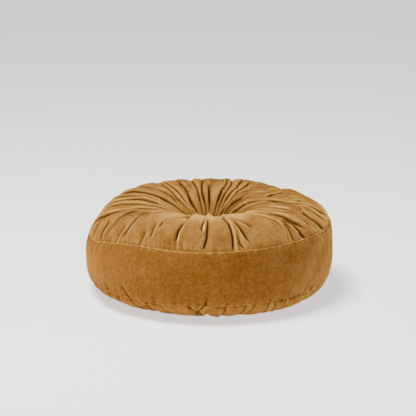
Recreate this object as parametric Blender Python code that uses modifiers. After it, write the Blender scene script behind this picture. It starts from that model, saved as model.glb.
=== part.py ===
"""Round velvet cushion: a stuffed drum whose gathered top is drawn down into a deep centre.

The cushion is one filled solid. A turned profile gives its crown, bulging side band and flat rest,
and its points are then moved by short tables of sections, swells and creases. Angles run
counter-clockwise seen from above, with 0 on the right (+X), 90 at the back and 270 at the front.
"""
import math
from collections import namedtuple

import bpy

MM = 0.001

# Driving sizes in millimetres. The sections below are drawn for these and scale with them.
DIAMETER = 502.0
HEIGHT = 192.0
DRAWN_DIAMETER = 502.0
DRAWN_HEIGHT = 192.0

RING_POINTS = 216
COVER_COLOUR = (0.38, 0.18, 0.045, 1.0)
COVER_ROUGHNESS = 0.9

# One row for each section of the profile, from the bottom of the throat over the crown, down the
# band and along the underside. The height gets the right, back and saddle amounts times the cosine
# and the sine of the angle and the cosine of twice the angle, because the stuffing lies unevenly.
# rings is the number of mesh rings from this section to the next.
Section = namedtuple("Section", "name radius height right back saddle rings")
SECTIONS = (
    Section("throat floor", 0.0, 106.0, 0.0, 0.0, 0.0, 1),
    Section("throat", 24.0, 124.0, 0.0, 0.0, 0.0, 1),
    Section("funnel", 58.0, 156.0, 0.0, 0.0, 0.0, 2),
    Section("lip", 104.0, 180.0, 0.0, 0.0, 0.0, 2),
    Section("crown", 152.0, 186.5, 1.0, -2.0, 0.0, 3),
    Section("shoulder", 204.0, 180.0, 6.0, -1.0, -2.5, 4),
    Section("top seam", 244.0, 137.0, 17.0, 0.0, -5.0, 3),
    Section("band", 251.0, 84.5, 9.5, 0.0, -2.5, 3),
    Section("lower seam", 245.5, 40.0, 2.0, 0.0, 0.0, 2),
    Section("under edge", 226.0, 15.5, -3.5, -3.0, 0.0, 2),
    Section("rest outside", 180.0, 0.0, 0.0, 0.0, 0.0, 1),
    Section("rest inside", 80.0, 0.0, 0.0, 0.0, 0.0, 1),
    Section("hollow", 42.0, 10.0, 0.0, 0.0, 0.0, 2),
    Section("hollow centre", 0.0, 24.0, 0.0, 0.0, 0.0, 0),
)

# Broad swells and dips of the top: where they are, how far they reach each way, and their lift.
Swell = namedtuple("Swell", "name angle spread radius reach lift")
SWELLS = (
    Swell("back right dip", 52.0, 20.0, 168.0, 55.0, -11.0),
    Swell("right dip", 18.0, 20.0, 195.0, 45.0, -6.0),
    Swell("back left rise", 140.0, 24.0, 190.0, 50.0, 4.0),
    Swell("overhanging puff", 323.0, 6.5, 214.0, 24.0, 6.0),
    Swell("right puff", 340.0, 6.5, 200.0, 40.0, 4.0),
    Swell("right back puff", 5.0, 10.0, 200.0, 45.0, 3.0),
    Swell("front right puff", 298.0, 6.0, 200.0, 45.0, 4.0),
    Swell("front puff", 275.0, 4.5, 195.0, 45.0, 3.0),
    Swell("front left puff", 261.0, 4.0, 195.0, 45.0, 3.0),
    Swell("left front puff", 248.0, 5.0, 195.0, 45.0, 3.0),
    Swell("left puff", 230.0, 6.0, 195.0, 45.0, 3.0),
    Swell("left ridge", 208.0, 4.5, 175.0, 35.0, 3.0),
    Swell("back left puff", 190.0, 5.0, 205.0, 40.0, 3.0),
    Swell("back puff", 52.5, 4.5, 85.0, 40.0, 4.0),
)

# Creases of the top panel, each from its outer end in to its inner end. bow is how far, in degrees,
# the middle stands off the straight line; depth and width are in millimetres.
Crease = namedtuple("Crease", "outer_radius outer_angle inner_radius inner_angle bow depth width")
TOP_CREASES = (
    Crease(238.0, 345.5, 40.0, 358.0, 1.0, 9.0, 7.0),
    Crease(165.0, 20.0, 40.0, 9.0, 0.0, 8.0, 7.0),
    Crease(236.0, 32.0, 45.0, 39.0, 1.0, 9.0, 8.0),
    Crease(170.0, 39.5, 40.0, 45.5, 0.0, 9.0, 8.0),
    Crease(232.0, 63.5, 40.0, 60.0, 0.0, 9.0, 7.0),
    Crease(185.0, 73.5, 45.0, 72.0, 0.0, 6.0, 6.0),
    Crease(236.0, 80.0, 40.0, 78.0, 0.0, 9.0, 7.0),
    Crease(175.0, 90.0, 50.0, 90.0, 0.0, 11.0, 7.0),
    Crease(236.0, 94.5, 45.0, 101.0, 0.0, 9.0, 7.0),
    Crease(190.0, 102.0, 45.0, 107.5, -1.0, 7.0, 6.0),
    Crease(230.0, 120.0, 35.0, 118.0, 0.0, 9.0, 7.0),
    Crease(215.0, 129.0, 60.0, 130.0, 0.0, 6.0, 7.0),
    Crease(236.0, 139.0, 45.0, 143.0, -1.0, 9.0, 7.0),
    Crease(215.0, 153.0, 35.0, 151.0, 0.0, 9.0, 9.0),
    Crease(236.0, 169.0, 60.0, 165.0, 0.0, 7.0, 8.0),
    Crease(205.0, 181.0, 60.0, 183.0, 1.5, 6.0, 7.0),
    Crease(240.0, 195.0, 50.0, 218.0, -5.0, 9.0, 8.0),
    Crease(240.0, 208.0, 200.0, 205.0, 0.0, 4.0, 6.0),
    Crease(236.0, 222.5, 60.0, 222.0, 1.0, 9.0, 7.0),
    Crease(214.0, 238.5, 60.0, 246.0, 0.0, 8.0, 8.0),
    Crease(232.0, 254.0, 60.0, 260.0, 0.0, 8.0, 7.0),
    Crease(241.0, 268.0, 70.0, 270.0, 0.5, 9.0, 7.0),
    Crease(241.0, 281.0, 55.0, 279.0, 1.0, 9.0, 7.0),
    Crease(236.0, 289.5, 150.0, 281.5, 1.0, 9.0, 7.0),
    Crease(241.0, 308.0, 60.0, 300.0, 1.5, 8.0, 7.0),
    Crease(241.0, 318.5, 190.0, 313.0, 0.0, 10.0, 7.0),
    Crease(234.0, 324.0, 60.0, 310.0, -1.0, 9.0, 7.0),
    Crease(241.0, 336.5, 170.0, 324.0, 0.0, 9.0, 7.0),
    Crease(175.0, 321.0, 60.0, 328.0, 0.0, 7.0, 8.0),
)

# Small tucks of the underside that run in from the lower seam: where, how deep and how wide.
Tuck = namedtuple("Tuck", "angle slant depth width")
TUCKS = (
    Tuck(217.0, 4.0, 4.0, 7.0),
    Tuck(228.0, 5.0, 4.0, 7.0),
    Tuck(239.5, 0.0, 5.0, 7.0),
    Tuck(262.0, 2.0, 3.0, 7.0),
    Tuck(267.5, -2.5, 4.0, 7.0),
    Tuck(277.0, 0.0, 3.0, 7.0),
    Tuck(289.0, -2.0, 4.0, 7.0),
    Tuck(299.0, 3.0, 4.0, 7.0),
    Tuck(307.0, 0.0, 4.0, 7.0),
    Tuck(325.0, -3.0, 5.0, 7.0),
    Tuck(345.0, -4.0, 4.0, 7.0),
)

# The tucks go on round the far side of the rim, evenly spaced and leaning by turns.
TUCK_SPACING = 13.0
LAST_TUCK_ANGLE = 208.0
TUCK_DEPTH = 4.0
TUCK_WIDTH = 7.0
TUCK_LEAN = 4.0
LEAN_TURNS = 5.0
TUCK_OUTER_RADIUS = 243.0
TUCK_INNER_RADIUS = 190.0

# The seams are drawn in a little, and fine pleats gather the top round the mouth of its centre.
SEAM_DEPTH = 2.5
THROAT_PLEATS = 36
THROAT_PLEAT_DEPTH = 3.0
THROAT_PLEAT_RADIUS = 62.0
THROAT_PLEAT_REACH = 30.0

# A crease fades out over its end length, is at least so many mesh steps wide, and has a low ridge
# along each side, which stands off its line by some of its widths.
CREASE_END = 22.0
STEPS_IN_CREASE = 1.35
RIDGE_SHARE = 0.3
RIDGE_OFFSET = 1.9


def clear_scene():
    for item in list(bpy.data.objects):
        bpy.data.objects.remove(item, do_unlink=True)


def velvet_material():
    material = bpy.data.materials.new("mustard_velvet")
    material.use_nodes = True
    shader = material.node_tree.nodes["Principled BSDF"]
    shader.inputs["Base Color"].default_value = COVER_COLOUR
    shader.inputs["Roughness"].default_value = COVER_ROUGHNESS
    shader.inputs["Metallic"].default_value = 0.0
    return material


def bell(distance, reach):
    """A smooth hump of height 1 that fades out over about twice its reach."""
    return math.exp(-(distance / reach) ** 2)


def turn_between(angle, centre):
    """The signed turn in degrees from centre to angle, between -180 and 180."""
    return (angle - centre + 180.0) % 360.0 - 180.0


def smooth_step(value):
    value = min(max(value, 0.0), 1.0)
    return value * value * (3.0 - 2.0 * value)


def spline_value(before, start, end, after, share):
    """A point on a Catmull-Rom curve between start and end."""
    linear = end - before
    square = 2.0 * before - 5.0 * start + 4.0 * end - after
    cubic = 3.0 * start - before - 3.0 * end + after
    return start + 0.5 * share * (linear + share * (square + share * cubic))


def section_height(section, angle):
    turn = math.radians(angle)
    uneven = section.right * math.cos(turn) + section.back * math.sin(turn)
    return section.height + uneven + section.saddle * math.cos(2.0 * turn)


def profile_at(angle):
    """The rings' (radius, height) at an angle, from the throat floor to the hollow's centre."""
    radii = [section.radius for section in SECTIONS]
    heights = [section_height(section, angle) for section in SECTIONS]
    radii = [-radii[1]] + radii + [-radii[-2]]
    heights = [heights[1]] + heights + [heights[-2]]
    points = []
    for index, section in enumerate(SECTIONS[:-1]):
        for ring in range(section.rings):
            share = ring / section.rings
            radius = spline_value(*radii[index:index + 4], share)
            height = spline_value(*heights[index:index + 4], share)
            points.append((radius, max(height, 0.0)))
    points.append((SECTIONS[-1].radius, SECTIONS[-1].height))
    return points


def ring_of(section_name):
    """The number of the ring that lies on a named section."""
    rings = 0
    for section in SECTIONS:
        if section.name == section_name:
            return rings
        rings += section.rings
    raise ValueError(section_name)


def crease_profile(distance, width, step):
    """How far a crease sinks at a distance from its line, with a low ridge on each side of it.

    A crease is never narrower than the mesh can follow.
    """
    reach = max(width, STEPS_IN_CREASE * step)
    ridge = bell(abs(distance) - RIDGE_OFFSET * reach, reach)
    return RIDGE_SHARE * ridge - bell(distance, reach)


def top_relief(radius, angle):
    """How far the top panel stands out, in millimetres, at a radius and an angle."""
    relief = 0.0
    for swell in SWELLS:
        around = bell(turn_between(angle, swell.angle), swell.spread)
        relief += swell.lift * around * bell(radius - swell.radius, swell.reach)
    step = math.tau * radius / RING_POINTS
    for crease in TOP_CREASES:
        length = crease.outer_radius - crease.inner_radius
        share = (radius - crease.inner_radius) / length
        ends = smooth_step((radius - crease.inner_radius) / CREASE_END + 0.5)
        ends *= smooth_step((crease.outer_radius - radius) / CREASE_END + 0.5)
        if ends == 0.0:
            continue
        lean = turn_between(crease.outer_angle, crease.inner_angle)
        bow = 4.0 * crease.bow * share * (1.0 - share)
        turn = turn_between(angle, crease.inner_angle + lean * share + bow)
        distance = math.radians(turn) * radius
        relief += ends * crease.depth * crease_profile(distance, crease.width, step)
    pleats = math.cos(math.radians(angle) * THROAT_PLEATS)
    fade = bell(radius - THROAT_PLEAT_RADIUS, THROAT_PLEAT_REACH)
    return relief + THROAT_PLEAT_DEPTH * pleats * fade


def all_tucks():
    """The tucks that are placed one by one, and evenly spaced ones round the rest of the rim."""
    tucks = list(TUCKS)
    angle = TUCKS[-1].angle - 360.0 + TUCK_SPACING
    while angle < LAST_TUCK_ANGLE:
        slant = TUCK_LEAN * math.sin(math.radians(angle * LEAN_TURNS))
        tucks.append(Tuck(angle, slant, TUCK_DEPTH, TUCK_WIDTH))
        angle += TUCK_SPACING
    return tucks


def underside_relief(radius, angle, tucks):
    """How far the rim of the underside stands out, in millimetres."""
    span = TUCK_OUTER_RADIUS - TUCK_INNER_RADIUS
    share = (TUCK_OUTER_RADIUS - radius) / span
    if share < 0.0 or share > 1.0:
        return 0.0
    strength = math.sin(math.pi * share)
    step = math.tau * radius / RING_POINTS
    relief = 0.0
    for tuck in tucks:
        turn = turn_between(angle, tuck.angle + tuck.slant * share)
        distance = math.radians(turn) * radius
        relief += strength * tuck.depth * crease_profile(distance, tuck.width, step)
    return relief


def outward(points, ring):
    """The profile's outward direction at a ring, as (radius, height) parts of a unit vector."""
    before = points[max(ring - 1, 0)]
    after = points[min(ring + 1, len(points) - 1)]
    along_radius = after[0] - before[0]
    along_height = after[1] - before[1]
    length = math.hypot(along_radius, along_height)
    return -along_height / length, along_radius / length


def cushion_point(ring, angle, points, tucks):
    """The place of a point of the cover in millimetres: radius and height."""
    radius, height = points[ring]
    top_seam = ring_of("top seam")
    lower_seam = ring_of("lower seam")
    relief = 0.0
    if 0 < ring < top_seam:
        relief = top_relief(radius, angle)
    elif ring in (top_seam, lower_seam):
        relief = -SEAM_DEPTH
    elif lower_seam < ring < ring_of("rest outside"):
        relief = underside_relief(radius, angle, tucks)
    out_radius, out_height = outward(points, ring)
    return radius + relief * out_radius, max(height + relief * out_height, 0.0)


def turned_blank():
    """A plain turned solid with the profile's rings, whose points are moved afterwards."""
    points = profile_at(0.0)
    mesh = bpy.data.meshes.new("cushion_profile")
    corners = [(radius * MM, 0.0, height * MM) for radius, height in points]
    edges = [(ring, ring + 1) for ring in range(len(points) - 1)]
    mesh.from_pydata(corners, edges, [])
    profile = bpy.data.objects.new("cushion_profile", mesh)
    bpy.context.scene.collection.objects.link(profile)
    screw = profile.modifiers.new("turn", "SCREW")
    screw.axis = "Z"
    screw.angle = math.tau
    screw.steps = RING_POINTS
    screw.render_steps = RING_POINTS
    screw.use_merge_vertices = True
    screw.merge_threshold = 0.0001
    evaluated = profile.evaluated_get(bpy.context.evaluated_depsgraph_get())
    blank = bpy.data.meshes.new_from_object(evaluated)
    bpy.data.objects.remove(profile, do_unlink=True)
    bpy.data.meshes.remove(mesh)
    return blank, points


def nearest_ring(points, radius, height):
    """The ring on which a point of the turned blank lies."""
    gaps = [math.hypot(radius - ring[0], height - ring[1]) for ring in points]
    return gaps.index(min(gaps))


def shape_cover(mesh, blank_points):
    """Move every point of the turned blank to its place on the stuffed cover."""
    tucks = all_tucks()
    wide = DIAMETER / DRAWN_DIAMETER
    high = HEIGHT / DRAWN_HEIGHT
    for vertex in mesh.vertices:
        x, y, z = vertex.co
        ring = nearest_ring(blank_points, math.hypot(x, y) / MM, z / MM)
        turn = math.atan2(y, x)
        angle = math.degrees(turn) % 360.0
        radius, height = cushion_point(ring, angle, profile_at(angle), tucks)
        vertex.co.x = radius * wide * math.cos(turn) * MM
        vertex.co.y = radius * wide * math.sin(turn) * MM
        vertex.co.z = height * high * MM


def centre_on_origin(mesh):
    """Put the middle of the cushion's box on the Z axis."""
    for axis in (0, 1):
        places = [vertex.co[axis] for vertex in mesh.vertices]
        middle = (min(places) + max(places)) / 2.0
        for vertex in mesh.vertices:
            vertex.co[axis] -= middle


def build_cushion(collection):
    mesh, blank_points = turned_blank()
    mesh.name = "cushion"
    shape_cover(mesh, blank_points)
    centre_on_origin(mesh)
    mesh.materials.clear()
    mesh.materials.append(velvet_material())
    mesh.shade_smooth()
    cushion = bpy.data.objects.new("cushion", mesh)
    collection.objects.link(cushion)
    return cushion


def main():
    clear_scene()
    collection = bpy.data.collections.new("round_cushion")
    bpy.context.scene.collection.children.link(collection)
    build_cushion(collection)


main()
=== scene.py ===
"""Round velvet cushion: its gathered cover, seams and tucks, with camera and studio.

Angles run counter-clockwise seen from above, in degrees, with 0 on the right (+X), 90 at the back
and 270 at the front. Radii, heights and lengths are in millimetres, measured from the cushion's
axis and from the floor, until cover_points turns them into metres.

The cover is one grid of points. Its columns run from the middle of the top down to the middle of
the underside, and its rows run round the cushion. The mark of a row is the number of its profile
section plus its share of the way to the next one. Each point is moved out of the plain profile by
its relief, and has a shade and a light value that the velvet uses.
"""
import math
from collections import namedtuple

import bmesh
import bpy
import numpy as np
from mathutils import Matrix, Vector


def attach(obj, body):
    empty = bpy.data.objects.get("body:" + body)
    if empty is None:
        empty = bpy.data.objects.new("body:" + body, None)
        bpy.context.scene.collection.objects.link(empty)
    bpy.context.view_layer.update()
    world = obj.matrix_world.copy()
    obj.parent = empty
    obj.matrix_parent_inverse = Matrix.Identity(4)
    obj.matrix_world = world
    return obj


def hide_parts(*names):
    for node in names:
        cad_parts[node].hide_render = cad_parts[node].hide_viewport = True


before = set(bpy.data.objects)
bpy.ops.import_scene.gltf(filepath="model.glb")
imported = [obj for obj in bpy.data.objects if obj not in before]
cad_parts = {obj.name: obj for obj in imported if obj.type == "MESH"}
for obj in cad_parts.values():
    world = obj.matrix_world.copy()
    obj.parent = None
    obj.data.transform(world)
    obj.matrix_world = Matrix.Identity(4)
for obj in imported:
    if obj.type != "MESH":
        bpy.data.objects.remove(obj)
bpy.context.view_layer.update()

MM = 0.001
SEED = 11

# Camera: where it aims, how far off and how high it stands, and where the aim falls in the picture.
CAMERA_AIM = (0.0, 0.0, 0.09)
CAMERA_ELEVATION = 16.0
CAMERA_DISTANCE = 3.0
CAMERA_LENS_MM = 127.5
CAMERA_SENSOR_MM = 36.0
PICTURE_PIXELS = 416.0
AIM_PIXEL_X = 209.0
AIM_PIXEL_Y = 245.0

# Studio, in metres and watts.
LIGHT_AIM = (0.0, 0.0, 0.1)
Light = namedtuple("Light", "name place size power colour")
LIGHTS = (
    Light("key", (-0.6, -0.5, 2.3), 1.0, 114.0, (1.0, 0.97, 0.90)),
    Light("right_rim", (2.4, 0.2, 0.9), 1.2, 9.0, (1.0, 1.0, 1.0)),
    Light("left_fill", (-2.0, -2.0, 1.2), 1.8, 6.0, (1.0, 0.85, 0.66)),
)
WORLD_STRENGTH = 0.18
FLOOR_HALF_SIZE = 30.0
FLOOR_GAP = 0.0004

# Colours of the velvet: the pile by its mottling, the streaks that multiply it, the dust on it,
# which is partly painted sheen, the painted highlights, the painted shade in the folds, and the
# sheen in plain and in lit places.
PILE_COLOURS = (
    (0.40, (0.150, 0.055, 0.0085)),
    (0.50, (0.180, 0.069, 0.0125)),
    (0.60, (0.216, 0.087, 0.0175)),
)
NAP_COLOURS = ((0.40, (0.86, 0.85, 0.83)), (0.60, (1.13, 1.14, 1.17)))
DUST_AND_SHEEN_COLOUR = (0.31, 0.168, 0.043)
PAINTED_HIGHLIGHT_COLOUR = (0.90, 0.52, 0.118)
SHADE_COLOUR = (0.024, 0.006, 0.001)
SHEEN_COLOUR = (1.0, 0.48, 0.10)
LIT_SHEEN_COLOUR = (1.0, 0.65, 0.23)
# How strongly the dust with its painted sheen, the painted highlights and the painted shade cover
# the pile, and how the last two change its sheen.
DUST_AND_SHEEN_CONTRAST = 3.4
DUST_AND_SHEEN_LEVEL = -1.25
DUST_AND_SHEEN_MIX = 0.6
PAINTED_HIGHLIGHT_MIX = 0.85
SHADE_MIX = 0.95
SHEEN = 0.7
SHEEN_LOSS_IN_SHADE = 0.62
SHEEN_GAIN_IN_LIGHT = 0.3

# Profile sections from the bottom of the throat over the crown, down the band and along the
# underside. right, back and saddle lift the height with the cosine and the sine of the angle and
# with the cosine of twice the angle. rows is the number of mesh rows up to the next section.
Section = namedtuple(
    "Section", "name radius height rows right back saddle", defaults=(0.0, 0.0, 0.0)
)
SECTIONS = (
    Section("throat floor", 0.0, 106.0, 4),
    Section("throat", 24.0, 124.0, 10),
    Section("funnel", 58.0, 156.0, 13),
    Section("lip", 104.0, 180.0, 12),
    Section("crown", 152.0, 186.5, 13, 1.0, -2.0, 0.0),
    Section("shoulder", 204.0, 180.0, 18, 6.0, -1.0, -2.5),
    Section("top seam", 244.0, 137.0, 12, 17.0, 0.0, -5.0),
    Section("band", 251.0, 84.5, 11, 9.5, 0.0, -2.5),
    Section("lower seam", 245.5, 40.0, 10, 2.0, 0.0, 0.0),
    Section("under edge", 226.0, 15.5, 10, -3.5, -3.0, 0.0),
    Section("rest outside", 180.0, 0.0, 3),
    Section("rest inside", 80.0, 0.0, 3),
    Section("hollow", 42.0, 10.0, 4),
    Section("hollow centre", 0.0, 24.0, 0),
)
SECTION_NAMES = [section.name for section in SECTIONS]
TOP_SEAM = SECTION_NAMES.index("top seam")
LOWER_SEAM = SECTION_NAMES.index("lower seam")
REST = SECTION_NAMES.index("rest outside")

# The mesh has about this many columns. They crowd towards the creases, and straighten out over some
# sections below the top seam. Extra rows at these distances beside a seam clear the plain rows out
# of that room. Nothing is divided by a radius under the innermost one.
COLUMNS = 720
FEWEST_COLUMNS = 3
CROWDING = 0.09
STRAIGHTENING = 1.5
SEAM_ROWS = (0.8, 2.0, 3.6, 5.6)
SEAM_ROWS_ROOM = 1.25
INNERMOST_RADIUS = 8.0

# Broad swells and dips of the top panel. Each is strongest at one angle and radius.
Patch = namedtuple("Patch", "name angle spread radius reach amount")
SWELLS = (
    Patch("back right dip", 50.0, 17.0, 162.0, 45.0, -9.0),
    Patch("right dip", 18.0, 20.0, 195.0, 45.0, -3.5),
    Patch("right edge dip", 42.0, 6.5, 205.0, 40.0, -5.5),
    Patch("left shoulder", 193.0, 12.0, 228.0, 25.0, 3.5),
    Patch("back left rise", 140.0, 24.0, 190.0, 50.0, 4.0),
    Patch("overhanging puff", 323.5, 5.5, 214.0, 24.0, 3.0),
    Patch("right puff", 340.0, 6.5, 200.0, 40.0, 4.0),
    Patch("right back puff", 5.0, 10.0, 200.0, 45.0, 3.0),
    Patch("front right puff", 298.0, 6.0, 200.0, 45.0, 4.0),
    Patch("front puff", 275.0, 4.5, 195.0, 45.0, 3.0),
    Patch("front left puff", 261.0, 4.0, 195.0, 45.0, 3.0),
    Patch("left front puff", 248.0, 5.0, 195.0, 45.0, 3.0),
    Patch("left puff", 230.0, 6.0, 195.0, 45.0, 3.0),
    Patch("left ridge", 208.0, 4.0, 170.0, 30.0, 4.0),
    Patch("back left puff", 190.0, 5.0, 205.0, 40.0, 3.0),
    Patch("front lip", 268.0, 30.0, 112.0, 32.0, 1.5),
    Patch("back dip", 84.0, 5.0, 190.0, 55.0, -3.0),
    Patch("back puff", 52.5, 4.0, 78.0, 36.0, 5.0),
)

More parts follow.
